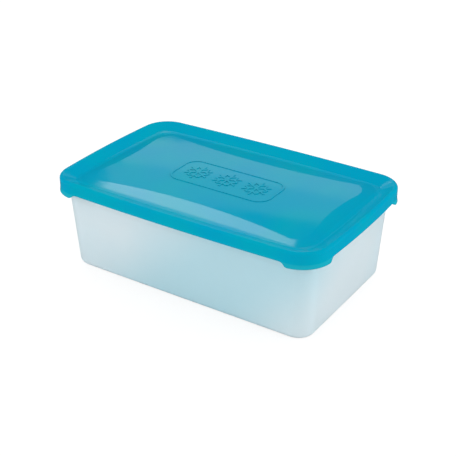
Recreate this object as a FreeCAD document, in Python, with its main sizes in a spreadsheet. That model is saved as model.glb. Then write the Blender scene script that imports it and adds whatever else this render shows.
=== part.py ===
import FreeCAD, Part
import Sketcher
import math
import os
import re

# Food storage container: a thin-walled plastic tub closed by a press-on lid.
# Millimetres.  Origin at the bottom centre of the tub, +X along the long side,
# -Y is the front, +Z is up.

os.makedirs("parts", exist_ok=True)
doc = FreeCAD.newDocument("food_storage_container")

# ---------------------------------------------------------------------------
# Driving sizes.  A value that starts with "=" is worked out from the others.
# ---------------------------------------------------------------------------
SIZES = [
    # the lid
    ("lid_length", "260.0"),
    ("lid_width", "164.0"),
    ("lid_corner", "24.8"),
    ("side_bow", "1.8"),             # how far each long or short side bulges out
    ("lid_wall", "1.3"),
    ("skirt_depth", "5.3"),          # skirt, down from the seat on the tub's rim
    ("crest_height", "4.8"),         # crest of the raised rim, up from the seat
    ("crest_round", "2.5"),          # outer rounding of the crest
    ("crest_flat", "0.5"),           # from that rounding to the top of the slope
    ("crest_inner_round", "1.4"),
    ("slope_run", "10.7"),           # plan width of the slope down to the valley
    ("valley_width", "0.8"),         # level strip between the slope and the pillow
    # finger tabs at the four corners of the skirt
    ("tab_drop", "3.3"),             # how far a tab hangs below the skirt
    ("tab_flare", "0.9"),
    ("tab_corner", "27.0"),
    ("tab_reach", "32.0"),           # from the lid's edge to where a tab begins
    ("tab_curve", "8.0"),            # length of the S-curve at a tab's end
    # the pillow panel in the middle of the lid
    ("pillow_corner", "22.0"),
    ("pillow_top_corner", "9.0"),
    ("dome_depth", "4.0"),           # how far the dome's slab goes below its foot
    ("dome_rise", "2.9"),            # apex above the valley floor
    ("long_facet", "20.2"),          # plan width of the sloping facet, long sides
    ("long_facet_rise", "1.87"),
    ("short_facet", "15.5"),
    ("short_facet_rise", "2.3"),
    ("pillow_root", "0.3"),          # how deep the pillow is sunk in the lid
    # raised motif on the pillow
    ("motif_raise", "0.5"),
    ("motif_length", "98.0"),
    ("motif_width", "42.0"),
    ("motif_corner", "12.0"),
    ("motif_line", "1.5"),
    ("flake_span", "25.0"),          # across a crystal, from tip to tip
    ("flake_gap", "29.0"),           # between the crystals' centres
    ("flake_twig", "5.5"),
    ("flake_twig_place", "6.3"),     # from a crystal's centre to a twig's root
    # the tub
    ("seat_height", "79.8"),         # top of the tub's rim, where the lid sits
    ("tub_wall", "1.2"),
    ("tub_floor", "1.4"),
    ("end_lean", "6.5"),             # how far each short side leans out, foot to rim
    ("side_lean", "6.95"),
    ("base_corner", "14.6"),
    ("base_edge_round", "5.0"),      # outer rounding under the walls
    ("mouth_corner_trim", "0.1"),    # how much tighter the mouth's corners are
    ("flange_reach", "5.2"),         # rim flange, outward from the wall
    ("flange_thick", "1.3"),
    ("flange_lip", "3.5"),           # height of the flange's turned-down edge
    # the fit between the two
    ("skirt_clearance", "0.7"),      # skirt of the lid, outside the tub's flange
    ("seat_width", "1.2"),           # level ring of the lid that rests on the flange
    # worked out: levels
    ("valley_floor", "=seat_height"),
    ("lid_top", "=seat_height + crest_height"),
    ("skirt_foot", "=seat_height - skirt_depth"),
    ("tab_foot", "=skirt_foot - tab_drop"),
    # worked out: the slope, which is a plate of the lid's wall thickness
    ("crest_inset", "=crest_round + crest_flat"),
    ("valley_inset", "=crest_inset + slope_run"),
    ("run_per_rise", "=slope_run / crest_height"),
    ("slope_plate", "=lid_wall * sqrt(slope_run ^ 2 + crest_height ^ 2) / slope_run"),
    ("plug_inset", "=valley_inset - (slope_plate - lid_wall) * run_per_rise"),
    # worked out: the tub's flange fits in the skirt and carries the lid's shoulder
    ("lid_overhang", "=flange_reach + skirt_clearance + lid_wall"),
    ("shoulder_inset", "=lid_wall + skirt_clearance + seat_width"),
    ("mouth_length", "=lid_length - 2 * lid_overhang"),
    ("mouth_width", "=lid_width - 2 * lid_overhang"),
    ("mouth_corner", "=lid_corner - lid_overhang - mouth_corner_trim"),
    ("base_length", "=mouth_length - 2 * end_lean"),
    ("base_width", "=mouth_width - 2 * side_lean"),
    # worked out: the bowed sides and the pillow
    ("lid_long_radius",
     "=((lid_length / 2 - lid_corner) ^ 2 + side_bow ^ 2) / (2 * side_bow)"),
    ("lid_short_radius",
     "=((lid_width / 2 - lid_corner) ^ 2 + side_bow ^ 2) / (2 * side_bow)"),
    ("pillow_inset", "=valley_inset + valley_width"),
    ("pillow_half_length", "=lid_length / 2 - pillow_inset"),
    ("pillow_half_width", "=lid_width / 2 - pillow_inset"),
    ("panel_half_length", "=pillow_half_length - short_facet"),
    ("panel_half_width", "=pillow_half_width - long_facet"),
    ("drop_over_length", "=dome_rise - short_facet_rise"),
    ("drop_over_width", "=dome_rise - long_facet_rise"),
    ("dome_cross_radius",
     "=(panel_half_width ^ 2 + drop_over_width ^ 2) / (2 * drop_over_width)"),
    ("hip_height", "=dome_rise + 0.3"),
]
ALIASES = [alias for alias, text in SIZES]

sheet = doc.addObject("Spreadsheet::Sheet", "Sizes")
for row, (alias, text) in enumerate(SIZES, start=1):
    sheet.set("A%d" % row, alias)
    sheet.set("B%d" % row, text)
    sheet.setAlias("B%d" % row, alias)
doc.recompute()


# ---------------------------------------------------------------------------
# Binding to the sheet.  Expressions below name the sizes plainly.
# ---------------------------------------------------------------------------
def sized(expression):
    """The same expression with each size read from the sheet."""
    def from_sheet(match):
        word = match.group(0)
        return "Sizes." + word if word in ALIASES else word
    return re.sub(r"[a-z_]+", from_sheet, expression)


def number(expression):
    """The present value of an expression, as a float."""
    result = doc.getObject("Sizes").evalExpression(expression)
    return float(getattr(result, "Value", result))


def bind(obj, prop, expression):
    """Drive one property of an object from the sheet."""
    obj.setExpression(prop, sized(expression))


# ---------------------------------------------------------------------------
# Sketch helpers
# ---------------------------------------------------------------------------
def make_body(label):
    body = doc.addObject("PartDesign::Body", label + "_body")
    body.Label = label
    return body


def make_sketch(body, name, role, level="0"):
    """A sketch on one of the body's own origin planes, moved along its normal."""
    planes = [item for item in body.Origin.OriginFeatures if item.Role == role]
    sketch = body.newObject("Sketcher::SketchObject", name)
    sketch.AttachmentSupport = (planes[0], [""])
    sketch.MapMode = "FlatFace"
    bind(sketch, ".AttachmentOffset.Base.z", level)
    return sketch


def dimension(sketch, name, constraint, expression):
    index = sketch.addConstraint(constraint)
    sketch.renameConstraint(index, name)
    bind(sketch, "Constraints." + name, expression)


def rule(sketch, *arguments):
    sketch.addConstraint(Sketcher.Constraint(*arguments))


def point(x, y):
    return FreeCAD.Vector(x, y, 0)


def arc(centre, radius, start, end):
    """A counter-clockwise arc between two angles in radians."""
    circle = Part.Circle(point(*centre), FreeCAD.Vector(0, 0, 1), radius)
    return Part.ArcOfCircle(circle, start, end)


def straight_outline(body, name, level, half_length, half_width, corner):
    """A rounded rectangle with straight sides, centred on the origin."""
    sketch = make_sketch(body, name, "XY_Plane", level)
    x = number(half_length)
    y = number(half_width)
    r = number(corner)
    centres = [(x - r, y - r), (r - x, y - r), (r - x, r - y), (x - r, r - y)]
    for k in range(4):
        angle = k * math.pi / 2
        out_x = r * math.cos(angle)
        out_y = r * math.sin(angle)
        start = point(centres[k - 1][0] + out_x, centres[k - 1][1] + out_y)
        end = point(centres[k][0] + out_x, centres[k][1] + out_y)
        sketch.addGeometry(Part.LineSegment(start, end), False)
        sketch.addGeometry(arc(centres[k], r, angle, angle + math.pi / 2), False)
    for k in range(8):
        rule(sketch, "Tangent", k, 2, (k + 1) % 8, 1)
    for k in (3, 5, 7):
        rule(sketch, "Equal", 1, k)
    rule(sketch, "Symmetric", 0, 1, 0, 2, -1)
    rule(sketch, "Symmetric", 2, 1, 2, 2, -2)
    dimension(sketch, "corner", Sketcher.Constraint("Radius", 1, r), corner)
    across = Sketcher.Constraint("DistanceX", -1, 1, 0, 1, x)
    dimension(sketch, "half_length", across, half_length)
    upward = Sketcher.Constraint("DistanceY", -1, 1, 2, 1, y)
    dimension(sketch, "half_width", upward, half_width)
    return sketch


def bowed_outline(body, name, level, half_length, half_width, corner, grow):
    """A rounded rectangle whose sides are long shallow arcs.

    The side radii are those of the lid's edge plus the growth, so outlines
    offset from one another stay parallel.
    """
    sketch = make_sketch(body, name, "XY_Plane", level)
    long_side = "lid_long_radius + (%s)" % grow
    short_side = "lid_short_radius + (%s)" % grow
    x = number(half_length)
    y = number(half_width)
    r = number(corner)
    long_r = number(long_side)
    short_r = number(short_side)
    # the corner arc's centre, so that it touches both side arcs from inside
    cx = x - r
    cy = y - r
    for step in range(60):
        cy = y - long_r + math.sqrt((long_r - r) ** 2 - cx ** 2)
        cx = x - short_r + math.sqrt((short_r - r) ** 2 - cy ** 2)
    # the directions in which the arcs meet
    low = math.atan2(cy, cx + short_r - x)
    high = math.atan2(cy + long_r - y, cx)
    half = math.pi
    pieces = [
        ((x - short_r, 0), short_r, -low, low),
        ((cx, cy), r, low, high),
        ((0, y - long_r), long_r, high, half - high),
        ((-cx, cy), r, half - high, half - low),
        ((short_r - x, 0), short_r, half - low, half + low),
        ((-cx, -cy), r, half + low, half + high),
        ((0, long_r - y), long_r, half + high, 2 * half - high),
        ((cx, -cy), r, 2 * half - high, 2 * half - low),
    ]
    for centre, radius, start, end in pieces:
        sketch.addGeometry(arc(centre, radius, start, end), False)
    for k in range(8):
        rule(sketch, "Tangent", k, 2, (k + 1) % 8, 1)
    for first, second in ((1, 3), (1, 5), (1, 7), (0, 4), (2, 6)):
        rule(sketch, "Equal", first, second)
    rule(sketch, "PointOnObject", 0, 3, -1)
    rule(sketch, "PointOnObject", 2, 3, -2)
    rule(sketch, "Symmetric", 0, 3, 4, 3, -1, 1)
    rule(sketch, "Symmetric", 2, 3, 6, 3, -1, 1)
    dimension(sketch, "corner", Sketcher.Constraint("Radius", 1, r), corner)
    end_arc = Sketcher.Constraint("Radius", 0, short_r)
    dimension(sketch, "short_side", end_arc, short_side)
    side_arc = Sketcher.Constraint("Radius", 2, long_r)
    dimension(sketch, "long_side", side_arc, long_side)
    back_x = Sketcher.Constraint("DistanceX", 0, 3, -1, 1, short_r - x)
    dimension(sketch, "short_centre", back_x, "%s - (%s)" % (short_side, half_length))
    back_y = Sketcher.Constraint("DistanceY", 2, 3, -1, 1, long_r - y)
    dimension(sketch, "long_centre", back_y, "%s - (%s)" % (long_side, half_width))
    return sketch


def lid_outline(body, name, level, inset, corner=None):
    """The lid's outer edge drawn in by an inset, all round."""
    half_length = "lid_length / 2 - (%s)" % inset
    half_width = "lid_width / 2 - (%s)" % inset
    corner = corner or "lid_corner - (%s)" % inset
    return bowed_outline(body, name, level, half_length, half_width, corner,
                         "0 - (%s)" % inset)


def mouth_outline(body, name, level, grow):
    """The tub's outer edge at the rim grown outward, or inward if negative."""
    half_length = "mouth_length / 2 + (%s)" % grow
    half_width = "mouth_width / 2 + (%s)" % grow
    corner = "mouth_corner + (%s)" % grow
    return bowed_outline(body, name, level, half_length, half_width, corner,
                         "(%s) - lid_overhang" % grow)


# ---------------------------------------------------------------------------
# Feature helpers
# ---------------------------------------------------------------------------
def loft(body, kind, name, first, last):
    """Additive or Subtractive loft between two outlines."""
    feature = body.newObject("PartDesign::%sLoft" % kind, name)
    feature.Profile = first
    feature.Sections = [last]
    feature.Ruled = True
    doc.recompute()
    return feature


def pad(body, name, sketch, length):
    feature = body.newObject("PartDesign::Pad", name)
    feature.Profile = sketch
    bind(feature, "Length", length)
    doc.recompute()
    return feature


def pocket_upward(body, name, sketch, length):
    feature = body.newObject("PartDesign::Pocket", name)
    feature.Profile = sketch
    feature.Reversed = True
    bind(feature, "Length", length)
    doc.recompute()
    return feature


def level_edges(shape, height, inside):
    """Names of the level edges at one height, within a distance of the axis."""
    names = []
    for index, edge in enumerate(shape.Edges, start=1):
        box = edge.BoundBox
        level = box.ZLength < 0.01 and abs(box.ZMin - height) < 0.01
        middle = edge.valueAt((edge.FirstParameter + edge.LastParameter) / 2)
        reach = max(abs(middle.x) - inside[0], abs(middle.y) - inside[1])
        if level and reach < 0:
            names.append("Edge%d" % index)
    return names


def fillet(body, name, base, edges, radius):
    feature = body.newObject("PartDesign::Fillet", name)
    feature.Base = (base, edges)
    bind(feature, "Radius", radius)
    doc.recompute()
    return feature


EVERYWHERE = (1000.0, 1000.0)

# ---------------------------------------------------------------------------
# The tub: its rim flange first, then the walls through it, then the hollow
# ---------------------------------------------------------------------------
tub = make_body("tub_outside")
flange_foot = "seat_height - flange_lip"
flange_edge = mouth_outline(tub, "FlangeEdge", flange_foot, "flange_reach")
pad(tub, "Flange", flange_edge, "flange_lip")
lip_inside = mouth_outline(tub, "LipInside", flange_foot, "flange_reach - flange_thick")
pocket_upward(tub, "FlangeHollow", lip_inside, "flange_lip - flange_thick")

foot = straight_outline(tub, "Foot", "0", "base_length / 2", "base_width / 2",
                        "base_corner")
mouth = mouth_outline(tub, "Mouth", "seat_height", "0")
walls = loft(tub, "Additive", "Walls", foot, mouth)
foot_edges = level_edges(walls.Shape, 0.0, EVERYWHERE)
fillet(tub, "FootRounding", walls, foot_edges, "base_edge_round")

# the food space, taken out of the outer body
core = make_body("food_space")
core_foot = straight_outline(
    core, "CoreFoot", "tub_floor", "base_length / 2 - tub_wall",
    "base_width / 2 - tub_wall", "base_corner - tub_wall")
core_mouth = mouth_outline(core, "CoreMouth", "seat_height", "0 - tub_wall")
core_walls = loft(core, "Additive", "CoreWalls", core_mouth, core_foot)
core_edges = level_edges(core_walls.Shape, number("tub_floor"), EVERYWHERE)
fillet(core, "CoreRounding", core_walls, core_edges, "base_edge_round - tub_wall")

# ---------------------------------------------------------------------------
# The lid's cap: skirt, crest and the slope down to the valley
# ---------------------------------------------------------------------------
cap = make_body("cap")
skirt_edge = lid_outline(cap, "SkirtEdge", "skirt_foot", "0")
block = pad(cap, "Block", skirt_edge, "lid_top - skirt_foot")
crest_edges = level_edges(block.Shape, number("lid_top"), EVERYWHERE)
fillet(cap, "CrestRounding", block, crest_edges, "crest_round")

tab_edge = lid_outline(cap, "TabEdge", "tab_foot", "0 - tab_flare", "tab_corner")
tab_root = lid_outline(cap, "TabRoot", "skirt_foot", "0")
loft(cap, "Additive", "TabBand", tab_edge, tab_root)

inner_edge = lid_outline(cap, "InnerEdge", "tab_foot", "lid_wall")
pocket_upward(cap, "SkirtHollow", inner_edge, "seat_height - tab_foot")
shoulder_edge = lid_outline(cap, "ShoulderEdge", "seat_height", "shoulder_inset")
pocket_upward(cap, "CrestHollow", shoulder_edge, "lid_top - lid_wall - seat_height")


def tab_gap(name, role, half_span):
    """Cut the band under the skirt away between the tabs, with S-curved ends."""
    sketch = make_sketch(cap, name + "Profile", role)
    near = number(half_span)
    run = number("tab_curve")
    top = number("skirt_foot")
    drop = number("tab_drop")
    low = top - drop
    margin = 2.0
    bend = (run ** 2 + drop ** 2) / (4 * drop)
    turn = math.asin(run / 2 / bend)
    middle = (near + run / 2, top - drop / 2)
    upper = (near, top - bend)
    lower = (near + run, low + bend)
    quarter = math.pi / 2
    sketch.addGeometry([
        Part.LineSegment(point(-near, top), point(near, top)),
        arc(upper, bend, quarter - turn, quarter),
        arc(lower, bend, 3 * quarter - turn, 3 * quarter),
        Part.LineSegment(point(near + run, low), point(near + run, low - margin)),
        Part.LineSegment(point(near + run, low - margin),
                         point(-near - run, low - margin)),
        Part.LineSegment(point(-near - run, low - margin), point(-near - run, low)),
        arc((-lower[0], lower[1]), bend, 3 * quarter, 3 * quarter + turn),
        arc((-upper[0], upper[1]), bend, quarter, quarter + turn),
    ], False)
    for first, second in (((0, 2), (1, 2)), ((2, 2), (3, 1)), ((3, 2), (4, 1)),
                          ((4, 2), (5, 1)), ((5, 2), (6, 1)), ((7, 1), (0, 1))):
        rule(sketch, "Coincident", *first, *second)
    rule(sketch, "Tangent", 1, 1, 2, 1)
    rule(sketch, "Tangent", 6, 2, 7, 2)
    rule(sketch, "Symmetric", 0, 1, 0, 2, -2)
    for k in (2, 6):
        rule(sketch, "Equal", 1, k)
    rule(sketch, "Vertical", 1, 3, 1, 2)
    rule(sketch, "Vertical", 2, 3, 2, 2)
    rule(sketch, "Vertical", 6, 3, 6, 1)
    rule(sketch, "Vertical", 7, 3, 7, 1)
    rule(sketch, "Vertical", 3)
    rule(sketch, "Vertical", 5)
    rule(sketch, "Horizontal", 4)
    rule(sketch, "Symmetric", 2, 2, 6, 1, -2)
    dimension(sketch, "margin", Sketcher.Constraint("DistanceY", 3, 2, 3, 1, margin),
              "%s" % margin)
    dimension(sketch, "top", Sketcher.Constraint("DistanceY", -1, 1, 0, 2, top),
              "skirt_foot")
    dimension(sketch, "low", Sketcher.Constraint("DistanceY", -1, 1, 2, 2, low),
              "tab_foot")
    dimension(sketch, "near", Sketcher.Constraint("DistanceX", -1, 1, 0, 2, near),
              half_span)
    dimension(sketch, "far",
              Sketcher.Constraint("DistanceX", -1, 1, 2, 2, near + run),
              "%s + tab_curve" % half_span)
    feature = cap.newObject("PartDesign::Pocket", name)
    feature.Profile = sketch
    feature.Type = "ThroughAll"
    feature.Midplane = True
    doc.recompute()


tab_gap("LongGap", "XZ_Plane", "lid_length / 2 - tab_reach")
tab_gap("ShortGap", "YZ_Plane", "lid_width / 2 - tab_reach")

# the slope: a plug under the crest, then a funnel-shaped recess in it
root = "lid_wall / 2"                # the plug ends inside the crest's thickness
over = "0.5"                         # the funnel runs out above the crest
plug_foot = lid_outline(cap, "PlugFoot", "valley_floor - lid_wall", "plug_inset")
plug_top = lid_outline(cap, "PlugTop", "lid_top - %s" % root,
                       "crest_inset - (slope_plate - %s) * run_per_rise" % root)
loft(cap, "Additive", "SlopePlug", plug_foot, plug_top)
funnel_foot = lid_outline(cap, "FunnelFoot", "valley_floor", "valley_inset")
funnel_top = lid_outline(cap, "FunnelTop", "lid_top + %s" % over,
                         "crest_inset - %s * run_per_rise" % over)
funnel = loft(cap, "Subtractive", "Funnel", funnel_foot, funnel_top)
within = (number("lid_length / 2 - crest_inset") + 0.1,
          number("lid_width / 2 - crest_inset") + 0.1)
inner_crest = level_edges(funnel.Shape, number("lid_top"), within)
fillet(cap, "InnerCrestRounding", funnel, inner_crest, "crest_inner_round")

# ---------------------------------------------------------------------------
# The pillow: a low hipped block whose top is cut by a doubly curved dome
# ---------------------------------------------------------------------------
LONG_SLOPE = "long_facet / long_facet_rise"       # plan run for each unit of rise
SHORT_SLOPE = "short_facet / short_facet_rise"


def hip_outline(body, name, level, rise, corner):
    """The hipped block's outline at a rise above the valley floor."""
    half_length = "pillow_half_length - (%s) * %s" % (rise, SHORT_SLOPE)
    half_width = "pillow_half_width - (%s) * %s" % (rise, LONG_SLOPE)
    return bowed_outline(body, name, "%s + %s" % (level, rise), half_length,
                         half_width, corner, "0 - pillow_inset")


def arch(body, name, station, level, apex):
    """A closed arched section across the lid, at one station along X."""
    sketch = make_sketch(body, name, "YZ_Plane", station)
    radius = number("dome_cross_radius")
    top = number(apex)
    low = number(level) - number("dome_depth")
    reach = number("lid_width / 2")
    turn = math.asin(reach / radius)
    side = top - radius + radius * math.cos(turn)
    quarter = math.pi / 2
    sketch.addGeometry(arc((0, top - radius), radius, quarter - turn, quarter + turn))
    sketch.addGeometry(Part.LineSegment(point(-reach, side), point(-reach, low)))
    sketch.addGeometry(Part.LineSegment(point(-reach, low), point(reach, low)))
    sketch.addGeometry(Part.LineSegment(point(reach, low), point(reach, side)))
    for k in range(3):
        rule(sketch, "Coincident", k, 2, k + 1, 1)
    rule(sketch, "Coincident", 3, 2, 0, 1)
    rule(sketch, "PointOnObject", 0, 3, -2)
    rule(sketch, "Horizontal", 0, 1, 0, 2)
    rule(sketch, "Vertical", 1)
    rule(sketch, "Vertical", 3)
    rule(sketch, "Horizontal", 2)
    crown = Sketcher.Constraint("Radius", 0, radius)
    dimension(sketch, "radius", crown, "dome_cross_radius")
    centre = Sketcher.Constraint("DistanceY", 0, 3, -1, 1, radius - top)
    dimension(sketch, "centre", centre, "dome_cross_radius - (%s)" % apex)
    across = Sketcher.Constraint("DistanceX", -1, 1, 3, 1, reach)
    dimension(sketch, "reach", across, "lid_width / 2")
    floor = Sketcher.Constraint("DistanceY", -1, 1, 3, 1, low)
    dimension(sketch, "floor", floor, "%s - dome_depth" % level)
    return sketch


def dome_body(label, level):
    """A slab under the dome: arched across the lid, and crowned along it."""
    body = make_body(label)
    crown = "%s + dome_rise" % level
    ends = "%s - drop_over_length * (lid_length / 2 / panel_half_length) ^ 2" % crown
    left = arch(body, label + "_left", "0 - lid_length / 2", level, ends)
    middle = arch(body, label + "_middle", "0", level, crown)
    right = arch(body, label + "_right", "lid_length / 2", level, ends)
    feature = body.newObject("PartDesign::AdditiveLoft", label + "_slab")
    feature.Profile = left
    feature.Sections = [middle, right]
    doc.recompute()
    return body


def common(label, shapes):
    result = doc.addObject("Part::MultiCommon", label)
    result.Shapes = shapes
    return result


def fuse(label, shapes):
    result = doc.addObject("Part::MultiFuse", label)
    result.Shapes = shapes
    return result


def cut(label, base, tool):
    result = doc.addObject("Part::Cut", label)
    result.Base = base
    result.Tool = tool
    return result


def pillow(label, level):
    hip = make_body(label + "_hip")
    foot_ring = hip_outline(hip, label + "_foot", level, "(0 - pillow_root)",
                            "pillow_corner")
    top_ring = hip_outline(hip, label + "_top", level, "hip_height",
                           "pillow_top_corner")
    loft(hip, "Additive", label + "_block", foot_ring, top_ring)
    return common(label, [hip, dome_body(label + "_dome", level)])


pillow_top = pillow("pillow", "valley_floor")
pillow_under = pillow("pillow_underside", "valley_floor - lid_wall")

# ---------------------------------------------------------------------------
# The raised motif: a frame and three plain six-armed snow crystals
# ---------------------------------------------------------------------------
motif_floor = "valley_floor - lid_wall / 2"
motif_height = "dome_rise + lid_wall"


def bar(label, centre_x, out, bearing, turn, length):
    """A level bar that starts off a crystal's centre and runs at a turn."""
    box = doc.addObject("Part::Box", label)
    bind(box, "Length", length)
    bind(box, "Width", "motif_line")
    bind(box, "Height", motif_height)
    x = "%s + (%s) * cos(%d) + motif_line / 2 * sin(%d)" % (
        centre_x, out, bearing, turn)
    y = "(%s) * sin(%d) - motif_line / 2 * cos(%d)" % (out, bearing, turn)
    box.Placement.Rotation = FreeCAD.Rotation(FreeCAD.Vector(0, 0, 1), turn)
    bind(box, ".Placement.Base.x", x)
    bind(box, ".Placement.Base.y", y)
    bind(box, ".Placement.Base.z", motif_floor)
    return box


def crystal(place):
    """Three bars cross to make six arms, and each arm carries two twigs."""
    centre_x = "(%d) * flake_gap" % place
    pieces = []
    for k in range(6):
        bearing = 60 * k + 30
        name = "crystal%d_arm%d" % (place + 1, k)
        if k < 3:
            pieces.append(bar(name, centre_x, "0 - flake_span / 2", bearing, bearing,
                              "flake_span"))
        for hand, lean in (("left", 60), ("right", -60)):
            pieces.append(bar("%s_twig_%s" % (name, hand), centre_x,
                              "flake_twig_place", bearing, bearing + lean,
                              "flake_twig"))
    return pieces


frame = make_body("motif_frame")
frame_edge = straight_outline(frame, "FrameEdge", motif_floor, "motif_length / 2",
                              "motif_width / 2", "motif_corner")
pad(frame, "FramePad", frame_edge, motif_height)
frame_inside = straight_outline(
    frame, "FrameInside", motif_floor, "motif_length / 2 - motif_line",
    "motif_width / 2 - motif_line", "motif_corner - motif_line")
pocket_upward(frame, "FrameHollow", frame_inside, motif_height)

motif_pieces = [frame]
for place in (-1, 0, 1):
    motif_pieces.extend(crystal(place))
motif_prisms = fuse("motif_prisms", motif_pieces)
motif_dome = dome_body("motif_dome", "valley_floor + motif_raise")
motif = common("motif", [motif_prisms, motif_dome])

# ---------------------------------------------------------------------------
# The two pieces
# ---------------------------------------------------------------------------
tub_piece = cut("tub", tub, core)
lid_solid = fuse("lid_solid", [cap, pillow_top, motif])
lid_piece = cut("lid", lid_solid, pillow_under)
doc.recompute()

problems = []
for item in doc.Objects:
    if "Invalid" in item.State or "Error" in item.State:
        problems.append(item.Name + " did not recompute")
    shape = getattr(item, "Shape", None)
    if item.TypeId.startswith(("Part::", "PartDesign::")) and shape is not None:
        if shape.isNull() or not shape.isValid():
            problems.append(item.Name + " has a bad shape")
for piece in (tub_piece, lid_piece):
    if len(piece.Shape.Solids) != 1:
        problems.append(piece.Name + " is not one solid")
if problems:
    raise RuntimeError("; ".join(problems))

for piece in (tub_piece, lid_piece):
    piece.Shape.exportStep("parts/%s.step" % piece.Label)
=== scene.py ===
"""Food storage container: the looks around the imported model.

Two pieces of moulded plastic, a frosted tub and a teal lid, on a plain white
studio floor.  Metres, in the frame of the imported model: +X along the long
side, -Y to the front, +Z up.
"""
import math
import bpy
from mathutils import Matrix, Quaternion, Vector


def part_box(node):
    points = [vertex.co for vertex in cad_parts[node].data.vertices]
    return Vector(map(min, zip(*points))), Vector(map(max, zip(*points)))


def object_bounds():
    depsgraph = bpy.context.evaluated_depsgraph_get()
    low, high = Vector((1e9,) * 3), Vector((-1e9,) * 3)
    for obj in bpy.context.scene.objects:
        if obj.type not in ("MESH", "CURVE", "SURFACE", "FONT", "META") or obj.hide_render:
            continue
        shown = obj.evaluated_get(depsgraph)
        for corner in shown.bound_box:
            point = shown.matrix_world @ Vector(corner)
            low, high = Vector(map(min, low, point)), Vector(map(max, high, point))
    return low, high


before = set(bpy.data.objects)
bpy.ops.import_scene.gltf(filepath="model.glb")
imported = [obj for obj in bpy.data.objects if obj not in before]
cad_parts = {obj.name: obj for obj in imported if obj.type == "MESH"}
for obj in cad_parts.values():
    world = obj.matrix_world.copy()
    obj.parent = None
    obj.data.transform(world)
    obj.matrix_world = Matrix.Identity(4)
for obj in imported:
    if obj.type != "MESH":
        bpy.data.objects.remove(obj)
cad_low, cad_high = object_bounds()
CENTRE = (cad_low + cad_high) / 2
MM = 0.001

lid_low, lid_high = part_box("lid")
TUB_HALF_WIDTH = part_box("tub")[1].y      # at its rim


# ---------------------------------------------------------------------------
# Node helpers
# ---------------------------------------------------------------------------
def srgb(red, green, blue):
    """A colour as it is read off a screen, 0 to 255, as the shader's linear one."""
    def linear(value):
        value = value / 255
        return value / 12.92 if value <= 0.04045 else ((value + 0.055) / 1.055) ** 2.4
    return (linear(red), linear(green), linear(blue), 1.0)


class Nodes:
    """A node tree with short calls to add and join nodes."""

    def __init__(self, owner):
        owner.use_nodes = True
        self.tree = owner.node_tree
        self.tree.nodes.clear()

    def add(self, kind, **settings):
        node = self.tree.nodes.new(kind)
        for name, value in settings.items():
            setattr(node, name, value)
        return node

    def fill(self, node, values):
        """Join each named input to a socket, or set it to a value."""
        for name, value in values.items():
            if isinstance(value, bpy.types.NodeSocket):
                self.tree.links.new(value, node.inputs[name])
            else:
                node.inputs[name].default_value = value
        return node

    def math(self, operation, *values):
        node = self.add("ShaderNodeMath", operation=operation)
        self.fill(node, dict(enumerate(values)))
        return node.outputs[0]

    def remap(self, value, low, high, to_low=0.0, to_high=1.0, smooth=False):
        """The value moved from one range to another, and held at its ends."""
        node = self.add("ShaderNodeMapRange",
                        interpolation_type="SMOOTHSTEP" if smooth else "LINEAR")
        self.fill(node, {"Value": value, "From Min": low, "From Max": high,
                         "To Min": to_low, "To Max": to_high})
        return node.outputs["Result"]

    def noise(self, place, scale, detail=2.0):
        """A smooth noise from 0 to 1; its scale is in lumps for each metre."""
        node = self.add("ShaderNodeTexNoise")
        self.fill(node, {"Vector": place, "Scale": scale, "Detail": detail})
        return node.outputs["Fac"]

    def mix(self, factor, first, second):
        """The second colour where the factor is 1, else the first."""
        node = self.add("ShaderNodeMix", data_type="RGBA")
        self.fill(node, {0: factor, 6: first, 7: second})
        return node.outputs[2]

    def choose(self, factor, first, second):
        """The second shader where the factor is 1, else the first."""
        node = self.add("ShaderNodeMixShader")
        self.fill(node, {0: factor, 1: first, 2: second})
        return node.outputs[0]

    def place(self):
        """Object coordinates, which are the frame's own metres, and their X, Y and Z."""
        place = self.add("ShaderNodeTexCoord").outputs["Object"]
        apart = self.add("ShaderNodeSeparateXYZ")
        self.fill(apart, {"Vector": place})
        return place, apart.outputs["X"], apart.outputs["Y"], apart.outputs["Z"]

    def bump(self, height, distance, strength=0.3):
        node = self.add("ShaderNodeBump")
        self.fill(node, {"Height": height, "Distance": distance, "Strength": strength})
        return node.outputs["Normal"]

    def plastic(self, settings):
        """A Principled shader with these settings, joined to the material's output."""
        shader = self.fill(self.add("ShaderNodeBsdfPrincipled"), settings)
        self.show(shader.outputs[0])

    def show(self, shader, output="ShaderNodeOutputMaterial"):
        self.fill(self.add(output), {"Surface": shader})


# ---------------------------------------------------------------------------
# Materials
# ---------------------------------------------------------------------------
TEAL = srgb(0, 160, 194)
TEAL_GREEN = srgb(0, 165, 190)
TEAL_LIT_THROUGH = srgb(30, 172, 190)            # painted light: a paler teal where light comes through the tabs
FROST = (0.78, 0.925, 0.98, 1.0)
FROST_CLEAR = (0.83, 0.945, 0.99, 1.0)
# painted light: the teal that the lid's light gives the tub's walls, as a colour
FROST_TEAL_LIT = (0.58, 0.85, 0.935, 1.0)

CLOUD_RANGE = (0.35, 0.65)                # the part of a noise that colours use
WAVE_RANGE = (0.3, 0.7)                   # the part of a noise that roughness uses

TAB_DROP = 3.3 * MM                       # how far the tabs hang below the skirt
TAB_FADE_TOP = 0.9 * MM                   # above the skirt's foot
TAB_FADE_FOOT = 0.4 * MM                  # below the skirt's foot
TAB_LIGHT_SHARE = 0.75                          # how much of the painted light's paler teal the tabs take
PANEL_FROM = 19.3 * MM                    # from the lid's edge inwards: all panel
RIM_UP_TO = 17.9 * MM                     # from the lid's edge inwards: still all rim
PANEL_LEVEL, RIM_LEVEL = 0.3, 0.04        # specular levels
RIM_ROUGHER = 0.02                        # added to the roughness

TEAL_LIGHT_FOOT = 5 * MM                        # off the middle, where the painted teal light's axis starts
TEAL_LIGHT_SHRINK = 1.55                        # how much narrower the painted teal light is across the tub
TEAL_LIGHT_REACH = 122 * MM                     # from the axis, where the painted teal light is gone
TEAL_LIGHT_FULL = 26 * MM                       # from the axis, where the painted teal light is whole


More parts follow.
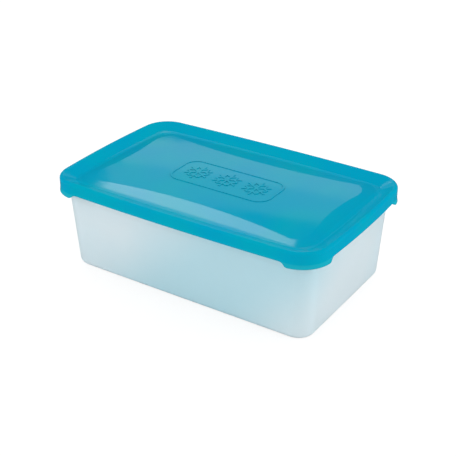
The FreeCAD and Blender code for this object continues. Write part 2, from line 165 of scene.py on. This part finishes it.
def lid_plastic():
    """Semi-gloss teal polyethylene with a faint moulded unevenness."""
    material = bpy.data.materials.new("lid_plastic")
    nodes = Nodes(material)
    place, along, across, height = nodes.place()

    broad = nodes.remap(nodes.noise(place, scale=22.0, detail=1.0), *CLOUD_RANGE)
    colour = nodes.mix(broad, TEAL, TEAL_GREEN)
    # painted light: the tabs hang below the seat, so light comes through them, and they are
    # painted a paler teal for it
    skirt_foot = lid_low.z + TAB_DROP
    tab_light = nodes.remap(height, skirt_foot + TAB_FADE_TOP, skirt_foot - TAB_FADE_FOOT,
                      smooth=True)
    colour = nodes.mix(nodes.math("MULTIPLY", tab_light, TAB_LIGHT_SHARE), colour, TEAL_LIT_THROUGH)

    # the rim round the panel mirrors less than the panel does, and is a little rougher
    from_end = nodes.math("SUBTRACT", lid_high.x, nodes.math("ABSOLUTE", along))
    from_side = nodes.math("SUBTRACT", lid_high.y, nodes.math("ABSOLUTE", across))
    inwards = nodes.math("MINIMUM", from_end, from_side)
    rim = nodes.remap(inwards, PANEL_FROM, RIM_UP_TO, smooth=True)
    mirror = nodes.remap(rim, 0.0, 1.0, to_low=PANEL_LEVEL, to_high=RIM_LEVEL)

    mottle = nodes.noise(place, scale=260.0, detail=1.0)
    wave = nodes.noise(place, scale=55.0)
    roughness = nodes.math("ADD", nodes.remap(wave, *WAVE_RANGE, to_low=0.07, to_high=0.10),
                           nodes.remap(mottle, *WAVE_RANGE, to_low=-0.01, to_high=0.01))
    roughness = nodes.math("ADD", roughness, nodes.math("MULTIPLY", rim, RIM_ROUGHER))

    nodes.plastic({"Base Color": colour, "Roughness": roughness,
                   "Normal": nodes.bump(wave, distance=0.06 * MM),
                   "IOR": 1.5, "Specular IOR Level": mirror, "Transmission Weight": 0.1})
    return material


def tub_plastic():
    """Frosted natural polypropylene: hazy, and clear enough to see light through."""
    material = bpy.data.materials.new("tub_plastic")
    nodes = Nodes(material)
    place, along, across, height = nodes.place()

    cloud = nodes.remap(nodes.noise(place, scale=14.0), *CLOUD_RANGE)
    colour = nodes.mix(cloud, FROST, FROST_CLEAR)
    # painted light: each long wall is coloured teal where the light that the teal lid tints
    # would fall, most of all in a band that leans to the right as it rises, for someone who
    # faces that wall
    facing = nodes.math("MULTIPLY", nodes.math("SIGN", across), -1.0)
    beside = nodes.math("MULTIPLY", along, facing)
    beside = nodes.math("SUBTRACT", beside, nodes.math("ADD", height, TEAL_LIGHT_FOOT))
    inwards = nodes.math("SUBTRACT", TUB_HALF_WIDTH, nodes.math("ABSOLUTE", across))
    inwards = nodes.math("MULTIPLY", inwards, TEAL_LIGHT_SHRINK)
    away = nodes.math("SQRT", nodes.math("ADD", nodes.math("MULTIPLY", beside, beside),
                                         nodes.math("MULTIPLY", inwards, inwards)))
    teal_light = nodes.remap(away, TEAL_LIGHT_REACH, TEAL_LIGHT_FULL, smooth=True)
    colour = nodes.mix(teal_light, colour, FROST_TEAL_LIT)

    # below a roughness of about 0.28 the denoiser leaves dark marks, so this stays above
    mottle = nodes.noise(place, scale=190.0, detail=1.0)
    wave = nodes.noise(place, scale=38.0)
    roughness = nodes.math("ADD", nodes.remap(wave, *WAVE_RANGE, to_low=0.31, to_high=0.36),
                           nodes.remap(mottle, *WAVE_RANGE, to_low=-0.015, to_high=0.015))

    nodes.plastic({"Base Color": colour, "Roughness": roughness,
                   "Normal": nodes.bump(wave, distance=0.10 * MM),
                   "IOR": 1.4, "Specular IOR Level": 0.4, "Transmission Weight": 0.28})
    return material


def dress(node, material):
    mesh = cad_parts[node].data
    mesh.materials.clear()
    mesh.materials.append(material)


dress("lid", lid_plastic())
dress("tub", tub_plastic())


# ---------------------------------------------------------------------------
# The studio: floor, world and soft lamps
# ---------------------------------------------------------------------------
FLOOR_HALF = 6.0
FLOOR_GAP = 0.05 * MM                     # below the tub
DIM_FLOOR, DIM_ROOM = 0.05, 0.02          # for a ray mirrored off an outside face
LAMP_DISTANCE = 1.6


def mirror_ray(nodes):
    """1 for a ray mirrored off an outside face, and 0 for one mirrored inside the tub."""
    path = nodes.add("ShaderNodeLightPath")
    outside = nodes.math("LESS_THAN", path.outputs["Transmission Depth"], 0.5)
    return nodes.math("MULTIPLY", path.outputs["Is Glossy Ray"], outside)


def matt(nodes, level):
    shader = nodes.add("ShaderNodeBsdfDiffuse")
    nodes.fill(shader, {"Color": (level, level, level, 1)})
    return shader.outputs[0]


def part_lit(nodes, level, glow):
    """A pale surface whose own glow keeps most of its shadows away."""
    light = nodes.add("ShaderNodeEmission")
    nodes.fill(light, {"Color": (1, 1, 1, 1), "Strength": glow})
    both = nodes.add("ShaderNodeAddShader")
    nodes.fill(both, {0: matt(nodes, level), 1: light.outputs[0]})
    return both.outputs[0]


def floor_white():
    """Matt white for light, near white for the camera and through the tub, dim mirrored."""
    material = bpy.data.materials.new("floor_white")
    nodes = Nodes(material)
    path = nodes.add("ShaderNodeLightPath")
    seen = nodes.choose(mirror_ray(nodes), matt(nodes, level=0.9),
                        matt(nodes, level=DIM_FLOOR))
    seen = nodes.choose(path.outputs["Is Transmission Ray"], seen,
                        part_lit(nodes, level=0.45, glow=0.7))
    seen = nodes.choose(path.outputs["Is Camera Ray"], seen,
                        part_lit(nodes, level=0.25, glow=0.78))
    nodes.show(seen)
    material.cycles.emission_sampling = "NONE"    # the glow isn't the same for every ray
    return material


def make_floor():
    corners = [(-FLOOR_HALF, -FLOOR_HALF), (FLOOR_HALF, -FLOOR_HALF),
               (FLOOR_HALF, FLOOR_HALF), (-FLOOR_HALF, FLOOR_HALF)]
    mesh = bpy.data.meshes.new("floor")
    mesh.from_pydata([(x, y, cad_low.z - FLOOR_GAP) for x, y in corners], [], [(0, 1, 2, 3)])
    mesh.materials.append(floor_white())
    floor = bpy.data.objects.new("floor", mesh)
    bpy.context.scene.collection.objects.link(floor)


def make_world():
    """A plain white room, which only a ray mirrored off an outside face sees dim."""
    world = bpy.data.worlds.new("studio")
    bpy.context.scene.world = world
    nodes = Nodes(world)

    def room(strength):
        background = nodes.add("ShaderNodeBackground")
        nodes.fill(background, {"Color": (1, 1, 1, 1), "Strength": strength})
        return background.outputs[0]

    nodes.show(nodes.choose(mirror_ray(nodes), room(1.0), room(DIM_ROOM)),
               output="ShaderNodeOutputWorld")
    world.cycles.sampling_method = "NONE"         # the room isn't the same for every ray


def direction(azimuth, elevation):
    """A unit vector; azimuth in degrees from +Y towards +X, elevation upwards."""
    turn = math.radians(azimuth)
    rise = math.radians(elevation)
    return Vector((math.sin(turn) * math.cos(rise), math.cos(turn) * math.cos(rise),
                   math.sin(rise)))


def softbox(name, azimuth, elevation, wide, tall, radiance, roll=0):
    """A soft lamp on a sphere about the lid; its width and height are in degrees.

    A roll, also in degrees, lifts its end of greater azimuth."""
    target = Vector((CENTRE.x, CENTRE.y, lid_high.z))
    light = bpy.data.lights.new(name, "AREA")
    light.shape = "RECTANGLE"
    light.size = 2 * LAMP_DISTANCE * math.tan(math.radians(wide / 2))
    light.size_y = 2 * LAMP_DISTANCE * math.tan(math.radians(tall / 2))
    light.energy = radiance * math.pi * light.size * light.size_y
    lamp = bpy.data.objects.new(name, light)
    bpy.context.scene.collection.objects.link(lamp)
    lamp.location = target + LAMP_DISTANCE * direction(azimuth, elevation)
    aim = (target - lamp.location).to_track_quat("-Z", "Y")
    lamp.rotation_euler = (aim @ Quaternion((0, 0, 1), math.radians(-roll))).to_euler()
    lamp.visible_camera = False
    lamp.visible_transmission = False
    return lamp


def make_lamps():
    # windows behind the object, which the lid mirrors towards the camera
    softbox("window_high", azimuth=-40.5, elevation=39.6, wide=20, tall=9, radiance=2.5, roll=34)
    softbox("window_low", azimuth=-31, elevation=21.2, wide=24, tall=7.4, radiance=0.56)
    softbox("window_middle", azimuth=-33, elevation=28.4, wide=24, tall=7, radiance=0.33)
    # fills for the tub's right and left, which nothing mirrors
    for name, azimuth, radiance in (("fill_right", 62, 1.4), ("fill_left", 235, 1.0)):
        fill = softbox(name, azimuth, elevation=15, wide=50, tall=35, radiance=radiance)
        fill.visible_glossy = False
        fill.data.cycles.use_multiple_importance_sampling = False
    # windows on the other sides, which show the lid's relief from there
    for name, azimuth in (("window_right", 55), ("window_front", 150), ("window_left", 245)):
        softbox(name, azimuth, elevation=24, wide=34, tall=9, radiance=0.55)


make_floor()
make_world()
make_lamps()


# ---------------------------------------------------------------------------
# The camera
# ---------------------------------------------------------------------------
CAMERA_AIM = Vector((-2.41, 5.25, 34.19)) * MM
CAMERA_DISTANCE = 872.57 * MM
CAMERA_AZIMUTH = 180 - 33.16              # to the right of the front
CAMERA_ELEVATION = 28.30
LENS, SENSOR_WIDTH = 79.45, 36            # in millimetres, as Blender takes them


def make_camera():
    data = bpy.data.cameras.new("camera")
    data.lens = LENS
    data.sensor_width = SENSOR_WIDTH
    camera = bpy.data.objects.new("camera", data)
    bpy.context.scene.collection.objects.link(camera)
    camera.location = CAMERA_AIM + CAMERA_DISTANCE * direction(CAMERA_AZIMUTH, CAMERA_ELEVATION)
    camera.rotation_euler = (CAMERA_AIM - camera.location).to_track_quat("-Z", "Y").to_euler()
    bpy.context.scene.camera = camera


make_camera()
bpy.context.scene.view_settings.view_transform = "Standard"
